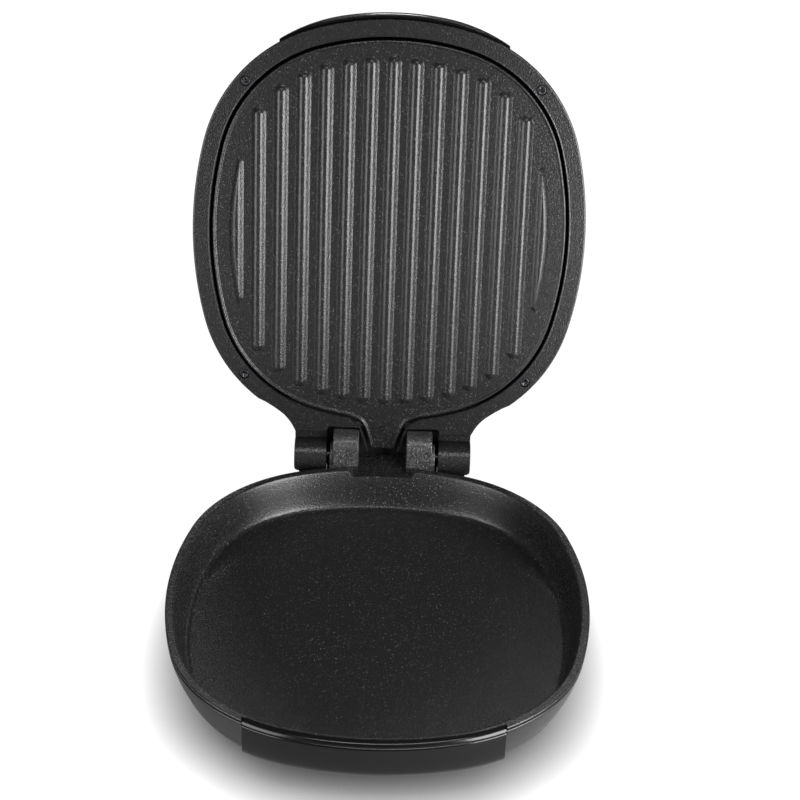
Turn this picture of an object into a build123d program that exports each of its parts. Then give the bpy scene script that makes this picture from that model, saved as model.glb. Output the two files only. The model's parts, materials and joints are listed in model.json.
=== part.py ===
from build123d import *
import os
from math import sin, cos, radians, sqrt, hypot

# Electric baking pan, lid standing open. Millimetres, +Z up, front handle towards -Y.
# Everything is drawn about the parting plane (pan flange top at z = 0, outline centre at
# x = y = 0) with the lid closed, and is then moved to its place over the table.

RIM_Z = 54.0            # pan flange above the table
Y_SHIFT = -57.1         # outline centre to the middle of the open object
OPEN_DEG = 99.5         # lid angle in the rest pose, from closed
PIN_Y, PIN_Z = 193.5, 1.5
PIN_R, FIT = 4.0, 0.05
LIFT = 6.0              # travel of the floating hinge

# plan outlines: width, length, side radius, end radius, corner radius
BASE = (320.0, 358.0, 318.0, 230.0, 125.0)
LID = (320.0, 349.6, 306.0, 227.0, 126.0)
GRIP = (320.0, 358.0, 290.0, 235.0, 138.0)

FLANGE_T = 2.0
PAN_DEPTH = 32.0
LUG_IN, LUG_OUT, BOSS_OUT = 20.2, 41.7, 44.4
LUG_FRONT, LUG_BACK, LUG_TOP = 180.0, 206.5, 24.1
BOSS_R = 11.6
SWEEP_R = 25.6          # lid parts near the lugs stay outside this radius about the pin
BARREL_R, BARREL_IN, BARREL_OUT = 14.0, 47.4, 74.3
GRIP_X = 91.0           # both handles end here
RING_FACE, RING_T = 0.4, 4.0
GROOVE_OUT, GROOVE_IN = 13.8, 16.2
RIB_PITCH, RIB_COUNT, RIB_W = 17.8, 15, 11.2
RIB_END = 28.5          # rib ends stop this far inside the lid's outline
SCREW_X, SCREW_Y = 117.5, 122.8
FOOT_X, FOOT_Y, FOOT_R = 82.0, 98.0, 10.0
TUBE_R = 3.3
PANEL_Y, PANEL_W, PANEL_L = -112.0, 92.0, 30.0
BUTTON_X, BUTTON_R = 28.0, 7.0
LAMP_X, LAMP_R = 9.0, 3.0
LID_TOP = 48.0


def box(x0, x1, y0, y1, z0, z1):
    return Pos((x0 + x1) / 2, (y0 + y1) / 2, (z0 + z1) / 2) * Box(x1 - x0, y1 - y0, z1 - z0)


def both(make):
    """a piece on the +X side together with its mirror image"""
    s = make()
    return s + mirror(s, about=Plane.YZ)


def rod_z(x, y, r, z0, z1):
    return Pos(x, y, (z0 + z1) / 2) * Cylinder(r, z1 - z0)


def rod_x(y, z, r, x0, x1):
    return Pos((x0 + x1) / 2, y, z) * Rot(0, 90, 0) * Cylinder(r, x1 - x0)


def outline(size, inset=0.0, z=0.0):
    """closed wire of eight tangent arcs; an inset keeps every arc's centre"""
    w, l, rs, re, rc = size
    ax, by = w / 2 - rs, l / 2 - re
    d1, d2, d = rs - rc, re - rc, hypot(ax, by)
    ux, uy = -ax / d, by / d
    a = (d1 * d1 - d2 * d2 + d * d) / (2 * d)
    h = sqrt(d1 * d1 - a * a)
    ends = [(ax + a * ux - s * h * uy, a * uy + s * h * ux) for s in (1, -1)]
    cx, cy = max(ends, key=lambda p: p[0] + p[1])
    rs, re, rc = rs - inset, re - inset, rc - inset

    def on(x0, y0, r, dx, dy):
        n = hypot(dx, dy)
        return x0 + r * dx / n, y0 + r * dy / n

    p1 = on(cx, cy, rc, cx - ax, cy)
    p2 = on(cx, cy, rc, cx, cy - by)
    mid = on(cx, cy, rc, p1[0] + p2[0] - 2 * cx, p1[1] + p2[1] - 2 * cy)
    side, end = (ax + rs, 0.0), (0.0, by + re)

    def arc(a, b, c, sx, sy):
        pts = [(sx * p[0], sy * p[1], z) for p in (a, b, c)]
        return Edge.make_three_point_arc(*pts)

    low = (p1[0], -p1[1])
    west = (-p2[0], p2[1])
    return Wire([
        arc(low, side, p1, 1, 1), arc(p1, mid, p2, 1, 1), arc(p2, end, west, 1, 1),
        arc(p2, mid, p1, -1, 1), arc(p1, side, low, -1, 1), arc(p1, mid, p2, -1, -1),
        arc(west, end, p2, 1, -1), arc(p2, mid, p1, 1, -1)])


def slab(size, inset, z0, z1):
    return extrude(Face(outline(size, inset, z0)), z1 - z0, dir=(0, 0, 1))


def stack(size, sections):
    """body through (inset, z) sections of one outline"""
    return Solid.make_loft([outline(size, d, z) for d, z in sections], ruled=True)


def plate_xy(points, z0, z1):
    w = Wire(Polyline(*[(x, y, z0) for x, y in points], close=True).edges())
    return extrude(Face(w), z1 - z0, dir=(0, 0, 1))


def prism_x(points, x0, x1):
    """(y, z) outline drawn across from x0 to x1"""
    w = Wire(Polyline(*[(x0, y, z) for y, z in points], close=True).edges())
    return extrude(Face(w), x1 - x0, dir=(1, 0, 0))


def turn_lid(s, deg):
    return s.rotate(Axis((0, PIN_Y, PIN_Z), (1, 0, 0)), deg)


def settle(s):
    return Pos(0, Y_SHIFT, RIM_Z) * s


def opened(s):
    return settle(turn_lid(s, -OPEN_DEG))


# Base

def lug():
    """hinge lug of the pan: block below the flange, rounded head, boss round the pin"""
    head = box(LUG_IN, LUG_OUT, LUG_FRONT, LUG_BACK, -13, LUG_TOP)
    top = head.edges().filter_by(Axis.X).group_by(Axis.Z)[-1].sort_by(Axis.Y)
    head = fillet(top[-1], 8.0)
    head = fillet(head.edges().filter_by(Axis.X).group_by(Axis.Z)[-1].sort_by(Axis.Y)[0], 4.0)
    face = head.faces().sort_by(Axis.X)
    head = fillet(face[0].edges() + face[-1].edges().filter_by(GeomType.LINE), 1.0)
    head += box(LUG_IN, BOSS_OUT, 166, LUG_BACK, -14, -1.0)
    return head + rod_x(PIN_Y, PIN_Z, BOSS_R, LUG_OUT - 1, BOSS_OUT)


def slot():
    r, x0, x1 = PIN_R + FIT, LUG_IN - 1, BOSS_OUT + 3
    s = rod_x(PIN_Y, PIN_Z, r, x0, x1) + rod_x(PIN_Y, PIN_Z + LIFT, r, x0, x1)
    return s + box(x0, x1, PIN_Y - r, PIN_Y + r, PIN_Z, PIN_Z + LIFT)


def lower_pan():
    s = stack(BASE, [(0.0, -FLANGE_T), (0.0, -0.9), (0.3, -0.3), (1.0, 0.0)])
    front = box(-GRIP_X - 0.4, GRIP_X + 0.4, -190, -120, -5, 5) - slab(BASE, 4.8, -6, 6)
    s -= front
    s += stack(BASE, [(4.4, -1.0), (7.0, -11), (9.7, -23), (13.2, -31.4), (19.0, -35.2)])
    s += both(lug)
    s += box(-LUG_IN - 1, LUG_IN + 1, 166, LUG_BACK, -12, 0.9)
    s -= stack(BASE, [(6.2, 0.1), (6.5, -0.25), (7.2, -0.9), (9.6, -11), (12.2, -23),
                      (15.2, -29.6), (21.0, -PAN_DEPTH)])
    # spout notch in the rear rim, and the trough behind it between the lugs
    notch = [(-28.4, 1), (-27.4, -0.4), (-26.2, -3.2), (-25.2, -4.6), (-23.6, -5.2),
             (23.6, -5.2), (25.2, -4.6), (26.2, -3.2), (27.4, -0.4), (28.4, 1)]
    w = Wire(Polyline(*[(x, 150, z) for x, z in notch], close=True).edges())
    s -= extrude(Face(w), LUG_FRONT - 0.5 - 150, dir=(0, 1, 0))
    s -= prism_x([(160, 3), (160, -5.2), (180, -5.2), (204.0, -3.6), (204.0, 3)],
                 -LUG_IN, LUG_IN)
    s -= both(slot)
    for x, y in pan_screw_places():
        s += rod_z(x, y, 4.5, -39.5, -33)
        s -= rod_z(x, y, 1.7, -40, -34.5)
    return s


def pan_screw_places():
    return [(sx * 100.0, sy * 60.0) for sx in (1, -1) for sy in (1, -1)]


CASING = [(0.0, -2.5), (0.5, -7), (2.5, -14), (4.7, -20.5), (7.5, -27), (10.0, -32.5),
          (13.6, -38), (19.5, -43.5), (26.5, -46.6), (34.0, -48)]


def casing_outer():
    return stack(BASE, CASING)


def housing(grow=0.0):
    """hinge housing on the rear of the casing, below the lugs and the ear barrels"""
    g = grow
    wide = prism_x([(150, -16 - g), (196.4 - g, -16 - g), (196.4 - g, -34 + g),
                    (188 - g, -44.5 + g), (150, -44.5 + g)], -72 + g, 72 - g)
    mid = prism_x([(150, -14.4 - g), (206 - g, -14.4 - g), (206 - g, -34 + g),
                   (197 - g, -44.5 + g), (150, -44.5 + g)], -47 + g, 47 - g)
    if g == 0.0:
        wide = fillet(wide.edges().filter_by(Axis.Z).group_by(Axis.Y)[-1], 6)
        mid = fillet(mid.edges().filter_by(Axis.Z).group_by(Axis.Y)[-1], 4)
    return wide + mid


def base_casing():
    hollow = stack(BASE, [(2.2, -2.3), (2.7, -7), (4.7, -14), (6.9, -20.5), (9.6, -26.7),
                          (12.1, -32.0), (15.8, -37.1), (21.4, -41.7), (27.4, -43.5)])
    s = casing_outer() + housing()
    s -= hollow
    s -= housing(2.6)
    s -= slab(BASE, 46, -50, -40)
    s -= slab(BASE, 34.6, -50, -46.1)
    # the rim steps down under the base handle
    s -= box(-GRIP_X - 0.4, GRIP_X + 0.4, -190, -120, -6.0, 0)
    # room for the lugs and the trough
    s -= box(-BOSS_OUT - 1.0, BOSS_OUT + 1.0, 140, 215, -14.4, 0)
    s -= rod_y(0, -28, 6.05, 195, 215)
    for x, y in cover_screw_places():
        s -= rod_z(x, y, 1.7, -47, -43.8)
    for x, y in pan_screw_places():
        s += stay(x, y)
    return s


def rod_y(x, z, r, y0, y1):
    return Pos(x, (y0 + y1) / 2, z) * Rot(90, 0, 0) * Cylinder(r, y1 - y0)


def stay(x, y):
    """arm from the casing's bottom ledge to a pan boss"""
    sx = 1 if x > 0 else -1
    arm = box(min(x, sx * 126), max(x, sx * 126), y - 7, y + 7, -45.9, -39.7)
    arm += rod_z(x, y, 7, -45.9, -39.7)
    arm -= rod_z(x, y, 2.0, -47, -39)
    return arm - rod_z(x, y, 3.8, -47, -43.4)


def base_handle():
    s = stack(BASE, [(9.6, -31.4), (4.5, -30.6), (1.4, -29.4), (-0.2, -26), (-1.0, -20),
                     (-1.0, -14), (-0.5, -8), (0.0, -5.6), (0.9, -5.0), (0.9, -4.5),
                     (0.1, -4.0), (1.4, -2.1), (3.0, -1.2), (4.0, -1.0)])
    s &= box(-GRIP_X, GRIP_X, -200, -100, -60, 5)
    s -= slab(BASE, 3.6, -6.1, 5)
    wall = [(d - 0.1, z) for d, z in CASING]
    s -= stack(BASE, wall) & box(-100, 100, -200, -100, -60, -5.9)
    s -= slab(BASE, 5.0, -60, 5)
    return s


def base_cover():
    s = slab(BASE, 34.9, -48, -46.2)
    for i in range(-5, 6):
        for y in (-62.0, 62.0):
            s -= box(i * 12 - 1.6, i * 12 + 1.6, y - 16, y + 16, -50, -44)
    for x, y in cover_screw_places():
        s -= rod_z(x, y, 1.9, -50, -44)
    for x, y in foot_places():
        s -= rod_z(x, y, 3.1, -50, -44)
    return s


def foot_places():
    return [(sx * FOOT_X, sy * FOOT_Y) for sx in (1, -1) for sy in (1, -1)]


def cover_screw_places():
    return [(119.5, 0), (-119.5, 0), (0, 138.5), (0, -138.5)]


def cover_screws():
    s = None
    for x, y in cover_screw_places():
        one = rod_z(x, y, 3.4, -49.6, -48.05) + rod_z(x, y, 1.6, -49, -44.2)
        s = one if s is None else s + one
    return s


def base_feet():
    s = None
    for x, y in foot_places():
        pad = fillet(rod_z(x, y, FOOT_R, -54, -48.05).edges().group_by(Axis.Z)[0], 1.5)
        one = pad + rod_z(x, y, 3.0, -49, -46.1) + rod_z(x, y, 4.6, -46.1, -44.9)
        s = one if s is None else s + one
    return s


def pan_screws():
    s = None
    for x, y in pan_screw_places():
        one = rod_z(x, y, 3.5, -45.6, -43.5) + rod_z(x, y, 1.6, -44, -35)
        s = one if s is None else s + one
    return s


def tube_loop(z):
    """heating tube: front half ring, two straight runs, two bends and thin cold ends"""
    r, y0, y1, b, tip = 78.0, -48.0, 52.0, 34.0, 22.0
    q = sqrt(0.5)
    w = Wire([
        Edge.make_line((tip, y1 + b, z), (r - b, y1 + b, z)),
        Edge.make_three_point_arc((r - b, y1 + b, z), (r - b + b * q, y1 + b * q, z), (r, y1, z)),
        Edge.make_line((r, y1, z), (r, y0, z)),
        Edge.make_three_point_arc((r, y0, z), (r * q, y0 - r * q, z), (0, y0 - r, z))])
    start = Plane(origin=(tip, y1 + b, z), z_dir=(1, 0, 0))
    half = sweep(start * Circle(TUBE_R), path=w)
    half += rod_x(y1 + b, z, 1.3, tip - 9, tip + 1)
    return half + mirror(half, about=Plane.YZ)


def thermostat(z, up):
    """cup thermostat pressed to a plate at height z, on the side up points to"""
    def cyl(r, a, b):
        lo, hi = sorted((z + up * a, z + up * b))
        return rod_z(0, 0, r, lo, hi)
    s = cyl(8.0, 0.1, 1.4) + cyl(6.6, 1.0, 5.6)
    lo, hi = sorted((z + up * 4.0, z + up * 5.0))
    return s + box(-12.5, 12.5, -2.2, 2.2, lo, hi)


def lower_reflector():
    s = slab(BASE, 58, -43.2, -42.6)
    s -= rod_z(0, 0, 14, -45, -40)
    for x, y in pan_screw_places():
        s -= rod_z(x, y, 9, -45, -40) + box(min(x, x * 1.5), max(x, x * 1.5), y - 9, y + 9, -45, -40)
    return s


def thermal_fuse():
    s = Pos(40, -20, -38.4) * Rot(90, 0, 0) * Cylinder(2.6, 14)
    return s + box(34, 46, -23, -17, -36.2, -35.4) + box(38.8, 41.2, -23, -17, -37, -35.6)


def terminal_block():
    s = box(-22, 22, 176, 188, -41.8, -30)
    for x in (-14, 0, 14):
        s -= rod_z(x, 182, 2.6, -34, -28) + rod_y(x, -36.5, 2.2, 174, 190)
    return s


def cord_gland():
    s = rod_y(0, -28, 6.0, 199, 206.2) + rod_y(0, -28, 8.6, 206.1, 209)
    s += rod_y(0, -28, 7.2, 209, 213)
    return s - rod_y(0, -28, 3.6, 195, 216)


# Carriage of the floating hinge

def hinge_pins():
    def pin():
        s = chamfer(rod_x(PIN_Y, PIN_Z, PIN_R, LUG_IN + 0.4, 72.6).edges(), 0.5)
        return s + rod_x(PIN_Y, PIN_Z, 5.4, BOSS_OUT + 0.3, BARREL_IN - 0.3)
    return both(pin)


# Lid, drawn closed

RING_TOP = RING_FACE + RING_T
SHELL = [(0.2, 4.7), (0.5, 8), (2.2, 15), (5.0, 22), (8.6, 29), (12.6, 35),
         (18.5, 41), (26.0, 45.6), (36.0, LID_TOP)]
TONGUE = [(29.0, 157.0), (24.0, 158.7), (19.5, 161.6), (16.4, 166.0), (13.9, 172.5),
          (11.9, 179.5), (10.0, 186.8)]
THROAT = [(31.0, 158.9), (26.3, 161), (22.2, 164), (19.0, 168.3), (16.3, 174.4),
          (14.2, 181.5), (12.3, 189.5)]


def spout(points, root, z0, z1, inset=0.0):
    """half outline smoothed by a spline, closed over the middle and down to its root"""
    right = [(x - inset, y, z0) for x, y in points]
    left = [(-x, y, z0) for x, y, z in reversed(right)]
    low = (right[0][0], root, z0)
    west = (-low[0], root, z0)
    w = Wire([Edge.make_line(west, low), Edge.make_line(low, right[0]),
              Edge.make_spline([Vector(*q) for q in right]), Edge.make_line(right[-1], left[0]),
              Edge.make_spline([Vector(*q) for q in left]), Edge.make_line(left[-1], west)])
    return extrude(Face(w), z1 - z0, dir=(0, 0, 1))


def flare():
    """ear of the ring in plan: concave flare from the rim, square rear edge"""
    pts = [(46, 150), (99.5, 147.2), (91.1, 152.6), (83.9, 158.2), (78.8, 164.3),
           (75.4, 170.2), (74.3, 172.4), (46, 172.4)]
    s = plate_xy(pts, RING_FACE, RING_TOP)
    tip = s.edges().filter_by(Axis.X).group_by(Axis.Y)[-1].group_by(Axis.Z)[0]
    return fillet(tip, 1.8)


def barrel():
    s = rod_x(PIN_Y, PIN_Z, BARREL_R, BARREL_IN, BARREL_OUT)
    arm = prism_x([(160, RING_TOP - 0.4), (176.5, RING_TOP - 0.4), (182, 8.0), (190, 8.0),
                   (190, PIN_Z + 12.2), (182, 14.6), (160, 14.6)], BARREL_IN, BARREL_OUT)
    s += arm
    plan = box(BARREL_IN, BARREL_OUT, 150, PIN_Y + BARREL_R, -20, 30)
    s &= fillet(plan.edges().filter_by(Axis.Z).group_by(Axis.X)[-1].sort_by(Axis.Y)[-1], 7.0)
    # heel that meets the rear wall of the housing when the lid stands open
    heel = prism_x([(196.8, -20.5), (203.0, -18), (206.5, -7), (200, 0), (196.8, -4)],
                   50.0, 68.0)
    return s + turn_lid(heel, OPEN_DEG)


def barrel_bore():
    return rod_x(PIN_Y, PIN_Z, PIN_R + FIT, BARREL_IN - 1, 73.0)


def lid_ring():
    s = slab(LID, 0.0, RING_FACE, RING_TOP)
    s = fillet(s.edges().group_by(Axis.Z)[0], 1.2)
    s += both(flare)
    tail = [(21.0, 160), (19.7, 170), (13.4, 188.4)]
    s += plate_xy(tail + [(-x, y) for x, y in reversed(tail)], RING_FACE, RING_TOP)
    s -= slab(LID, GROOVE_OUT, -5, 10)
    s -= spout(THROAT, 150, -5, 10)
    pocket = [(LUG_IN - 0.5, 171.0), (LUG_IN - 0.45, 168.9), (LUG_IN - 0.1, 168.2),
              (LUG_IN + 0.8, 167.9), (44.8, 167.9),
              (46.6, 168.8), (BARREL_IN, 171), (BARREL_IN, 182), (10, 199), (13.9, 188)]
    s -= both(lambda: plate_xy(pocket, -5, 10))
    s += both(barrel)
    s -= both(barrel_bore)
    for x, y in frame_places():
        s -= rod_z(x, y, 4.2, -1, 3.0) + rod_z(x, y, 2.0, -1, 6)
    return s


def frame_places():
    return [(sx * SCREW_X, sy * SCREW_Y) for sx in (1, -1) for sy in (1, -1)]


def frame_screws():
    s = None
    for x, y in frame_places():
        head = rod_z(x, y, 3.9, 1.0, 2.9)
        head = fillet(head.edges().group_by(Axis.Z)[0], 0.9)
        cross = box(x - 2.3, x + 2.3, y - 0.45, y + 0.45, 0, 2.3)
        cross += box(x - 0.45, x + 0.45, y - 2.3, y + 2.3, 0, 2.3)
        one = head - cross + rod_z(x, y, 1.8, 2.5, 16)
        s = one if s is None else s + one
    return s


def probe(size, inset, x):
    """how far the inset outline reaches along Y at a given X"""
    hit = Face(outline(size, inset)) & Edge.make_line((x, 0, 0), (x, size[1], 0))
    return hit.bounding_box().max.Y


def rib(x, reach):
    """one raised rib: flat crown, rolled edges, round ends"""
    def slot_wire(off, z):
        r, c = RIB_W / 2 - off, reach - RIB_W / 2
        return Wire([
            Edge.make_line((x + r, -c, z), (x + r, c, z)),
            Edge.make_three_point_arc((x + r, c, z), (x, c + r, z), (x - r, c, z)),
            Edge.make_line((x - r, c, z), (x - r, -c, z)),
            Edge.make_three_point_arc((x - r, -c, z), (x, -c - r, z), (x + r, -c, z))])
    rows = [(0.0, 1.2), (0.0, 0.9), (0.7, -0.7), (1.3, -1.5), (2.0, -1.9), (2.7, -2.0)]
    return Solid.make_loft([slot_wire(off, z) for off, z in rows], ruled=True)


def rib_row():
    """parallel raised ribs; the outermost ones are cut to the plate's own curve"""
    island = stack(LID, [(31.5, 1.2), (31.5, 0.9), (32.2, -0.7), (33.4, -2.1)])
    ribs = []
    half = (RIB_COUNT - 1) // 2
    for k in range(-half, half + 1):
        x = k * RIB_PITCH
        one = rib(x, probe(LID, RIB_END, abs(x)))
        ribs.append(one & island if abs(k) >= half - 1 else one)
    return ribs


def grill_plate():
    s = slab(LID, GROOVE_IN, 1.0, 5.0)
    bead = stack(LID, [(GROOVE_IN, 1.1), (GROOVE_IN + 0.2, 0.2), (GROOVE_IN + 0.9, -0.5)])
    bead -= stack(LID, [(GROOVE_IN + 3.0, 1.2), (GROOVE_IN + 2.2, 0.2), (GROOVE_IN + 1.6, -0.6)])
    lane = spout(TONGUE, 140, -3, 1.0, 2.2)
    s += bead - lane
    # tongue: a shallow spout bent back from the plate
    side = prism_x([(150, -0.4), (162, -0.4), (186.4, 2.4), (186.4, 6.0), (163, 5.0), (150, 5.0)],
                   -34, 34)
    floor = prism_x([(140, 1.0), (163, 1.0), (190, 4.2), (190, -5), (140, -5)], -34, 34)
    tongue = side & spout(TONGUE, 152, -5, 10)
    tongue -= floor & spout(TONGUE, 140, -5, 10, 2.2)
    s += tongue
    rim = slab(LID, 10.5, 4.7, 6.7) - slab(LID, 22, 4, 8)
    for x, y in frame_places():
        rim -= rod_z(x, y, 4.4, 4, 8)
    s += rim
    for r in rib_row():
        s += r
    return s


def hood():
    """cover over the lugs: wraps round the pin, so it hides the hinge with the lid open"""
    r = SWEEP_R + 3.0
    s = rod_x(PIN_Y, PIN_Z, r, 0.2 - BARREL_IN, BARREL_IN - 0.2)
    s += box(0.2 - BARREL_IN, BARREL_IN - 0.2, 148, PIN_Y, 8, PIN_Z + r)
    a = radians(60.0)
    low = prism_x([(150, 8), (150, -40), (240, -40), (240, 1.5 + 60 * sin(a)),
                   (PIN_Y + 60 * cos(a), 1.5 + 60 * sin(a)), (PIN_Y, PIN_Z), (PIN_Y - 60, 10.5)],
                  -60, 60)
    return s - low


def lid_shell():
    s = stack(LID, SHELL)
    hollow = stack(LID, [(2.8, 4.6), (3.1, 8), (4.8, 15), (7.7, 22), (11.2, 28.4),
                         (15.0, 33.8), (20.6, 39.2), (27.5, 43.4), (36.5, LID_TOP - 2.5)])
    hollow -= box(-79, 79, 145, 200, 0, 29)
    outer = s
    s = s - hollow + hood()
    for x, y in frame_places():
        s += rod_z(x, y, 5.0, 7.0, 30) & outer
        s -= rod_z(x, y, 1.9, 4, 18)
    s -= rod_x(PIN_Y, PIN_Z, SWEEP_R, -BARREL_IN, BARREL_IN)
    s -= both(lambda: box(BARREL_IN - 0.2, BARREL_OUT + 0.3, 159.8, 210, 0, 15.2))
    s -= slab(LID, 10.2, 3.0, 6.9)
    s -= spout(TONGUE, 140, 3, 9.5, -1.2)
    s -= both(lambda: rod_y(55, 12, 1.7, -175, -155))
    # window for the control panel
    s -= box(-PANEL_W / 2 + 3, PANEL_W / 2 - 3, PANEL_Y - 12, PANEL_Y + 12, 40, 60)
    return s


def upper_reflector():
    s = slab(LID, 26, 17.6, 18.2)
    s -= box(-90, 90, 136, 200, 10, 25)
    return s


def lid_handle():
    s = stack(GRIP, [(2.2, 0.9), (1.0, 0.9), (0.2, 1.8), (0.0, 4), (0.4, 12), (2.0, 19),
                     (5.2, 25.5), (10.0, 30.5), (15.5, 33.6), (19.0, 34.8)])
    s &= box(-GRIP_X, GRIP_X, -200, -100, 0, 40)
    s -= slab(LID, -2.0, -1, 4.6)
    wall = [(d - 0.1, z) for d, z in SHELL]
    s -= stack(LID, wall)
    s -= slab(LID, 3.0, -1, 5.0)
    return s - both(lambda: rod_y(55, 12, 1.6, -170.4, -150))


def control_panel():
    s = Pos(0, PANEL_Y, 0) * extrude(Pos(0, 0, LID_TOP + 0.05) * RectangleRounded(
        PANEL_W, PANEL_L, 7), 1.8)
    s = fillet(s.edges().group_by(Axis.Z)[-1], 0.8)
    s += box(-42, 42, PANEL_Y - 11, PANEL_Y + 11, LID_TOP - 1.5, LID_TOP + 0.2) \
        - box(-40, 40, PANEL_Y - 9.5, PANEL_Y + 9.5, 40, LID_TOP + 0.05)
    for sx in (1, -1):
        s -= rod_z(sx * BUTTON_X, PANEL_Y, BUTTON_R + 0.35, 40, 60)
        s -= rod_z(sx * LAMP_X, PANEL_Y, LAMP_R + 0.05, 40, 60)
    return s


def heat_button(side):
    x = side * BUTTON_X
    s = rod_z(x, PANEL_Y, BUTTON_R, LID_TOP - 2.0, LID_TOP + 3.4)
    s = fillet(s.edges().group_by(Axis.Z)[-1], 0.9)
    return s + rod_z(x, PANEL_Y, BUTTON_R + 1.3, LID_TOP - 1.8, LID_TOP - 0.4)


def lamp_lenses():
    s = None
    for sx in (1, -1):
        one = rod_z(sx * LAMP_X, PANEL_Y, LAMP_R, LID_TOP - 3, LID_TOP + 2.6)
        one = fillet(one.edges().group_by(Axis.Z)[-1], 0.7)
        s = one if s is None else s + one
    return s


def switch_board():
    s = box(-40, 40, PANEL_Y - 11, PANEL_Y + 11, 36.4, 38.0)
    for sx in (1, -1):
        x = sx * BUTTON_X
        s += box(x - 6, x + 6, PANEL_Y - 6, PANEL_Y + 6, 37.9, LID_TOP - 4.2)
        s += rod_z(sx * LAMP_X, PANEL_Y, 2.4, 37.9, LID_TOP - 3.3)
    for x in (-36, 36):
        s += rod_z(x, PANEL_Y - 8, 2.0, 38, LID_TOP - 2.6)
    return s


def lid_handle_screws():
    return both(lambda: rod_y(55, 12, 3.4, -161.6, -159.7) + rod_y(55, 12, 1.5, -170.0, -161))


def build():
    base = {
        "base_casing": base_casing(), "base_cover": base_cover(), "base_feet": base_feet(),
        "cover_screws": cover_screws(), "lower_pan": lower_pan(), "pan_screws": pan_screws(),
        "lower_element": tube_loop(-35.2 - TUBE_R - 0.1),
        "lower_thermostat": thermostat(-35.2, -1), "lower_reflector": lower_reflector(),
        "thermal_fuse": thermal_fuse(), "terminal_block": terminal_block(),
        "cord_gland": cord_gland(), "base_handle": base_handle(),
        "hinge_pins": hinge_pins()}
    lid = {
        "lid_ring": lid_ring(), "grill_plate": grill_plate(), "frame_screws": frame_screws(),
        "lid_shell": lid_shell(), "upper_element": tube_loop(5.0 + TUBE_R + 0.1),
        "upper_thermostat": thermostat(5.0, 1), "upper_reflector": upper_reflector(),
        "lid_handle": lid_handle(), "lid_handle_screws": lid_handle_screws(),
        "control_panel": control_panel(), "lamp_lenses": lamp_lenses(),
        "switch_board": switch_board(), "upper_heat_button": heat_button(1),
        "lower_heat_button": heat_button(-1)}
    parts = {n: settle(s) for n, s in base.items()}
    parts.update({n: opened(s) for n, s in lid.items()})
    return parts


os.makedirs("parts", exist_ok=True)
for name, solid in build().items():
    export_step(solid, "parts/%s.step" % name)
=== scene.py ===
import json
from math import atan2, cos, degrees, hypot, pi, radians, sin, sqrt

import bmesh
import bpy
from mathutils import Matrix, Vector


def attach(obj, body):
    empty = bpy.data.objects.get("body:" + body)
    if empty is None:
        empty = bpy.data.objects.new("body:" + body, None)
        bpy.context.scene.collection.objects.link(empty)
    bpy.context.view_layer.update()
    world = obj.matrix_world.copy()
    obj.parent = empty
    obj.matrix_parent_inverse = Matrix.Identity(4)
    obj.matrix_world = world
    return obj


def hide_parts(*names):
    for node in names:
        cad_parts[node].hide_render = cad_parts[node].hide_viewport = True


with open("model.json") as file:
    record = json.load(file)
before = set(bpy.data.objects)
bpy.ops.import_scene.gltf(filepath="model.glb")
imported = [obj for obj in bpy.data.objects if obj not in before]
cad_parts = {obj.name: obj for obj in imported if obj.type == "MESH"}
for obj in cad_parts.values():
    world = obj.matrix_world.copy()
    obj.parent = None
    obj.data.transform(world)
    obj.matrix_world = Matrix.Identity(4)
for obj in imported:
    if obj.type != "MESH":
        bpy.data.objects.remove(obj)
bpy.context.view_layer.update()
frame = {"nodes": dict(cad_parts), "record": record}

# Electric baking pan with its lid standing open. Shapes are drawn in millimetres about the
# parting plane, outline centre at x = y = 0, with the lid closed, and are then put in place.
MM = 0.001

# place of the drawing's origin, the lid's opening, the hinge pin and how far it floats
Y_SHIFT, RIM_Z = -57.1, 54.0
OPEN_DEG = 99.5
PIN_Y, PIN_Z, PIN_R = 193.5, 1.5, 4.0
LIFT = 6.0

BASE_PLACE = Matrix.Translation((0, Y_SHIFT * MM, RIM_Z * MM))
PIN_PLACE = Matrix.Translation((0, PIN_Y * MM, PIN_Z * MM))
LID_PLACE = (BASE_PLACE @ PIN_PLACE @ Matrix.Rotation(radians(-OPEN_DEG), 4, "X")
             @ PIN_PLACE.inverted())

# plan outlines of the base, the lid and the lid's handle: width, length, side radius, end
# radius, corner radius
BASE = (320.0, 358.0, 318.0, 230.0, 125.0)
LID = (320.0, 349.6, 306.0, 227.0, 126.0)
GRIP = (320.0, 358.0, 290.0, 235.0, 138.0)

# handles: half width, and the gap at their ends
GRIP_X, GRIP_GAP = 91.0, 0.4

# insets of the groove between ring and plate
GROOVE_OUT, GROOVE_IN = 13.8, 16.2

# hinge: the pan's posts and bosses, the ring's barrels, the shell's hollow round them
LUG_IN, LUG_OUT, BOSS_OUT = 20.2, 41.7, 44.4
LUG_FRONT, LUG_BACK, LUG_TOP = 180.0, 206.5, 24.1
BARREL_R, BARREL_IN, BARREL_OUT, BORE_END = 14.0, 47.4, 74.3, 73.0
SWEEP_R, HOOD_X, HOOD_WALL = 25.6, 54.0, 3.0

# ribs and ring screws
RIB_PITCH, RIB_R, RIB_END = 17.8, 5.9, 28.5
SCREW_X, SCREW_Y = 117.5, 122.8

# hinge housing of the casing: half width and back of its wide and middle parts
WIDE_X, WIDE_BACK = 72.0, 196.4
MIDDLE_X, MIDDLE_BACK = 47.0, 206.0
ROOM_FLOOR = -14.4
GLAND_Y, GLAND_Z, GLAND_R = 205.0, -28.0, 6.05

# window of the panel, and the bend of the spout: where it starts, its run and its slope
WINDOW_X, WINDOW_FRONT, WINDOW_BACK = 43.0, -124.0, -100.0
BEND_Y, BEND_RUN, BEND_SLOPE = 162.0, 8.0, 0.136
SPOUT_BACK_Z = 6.0

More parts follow.
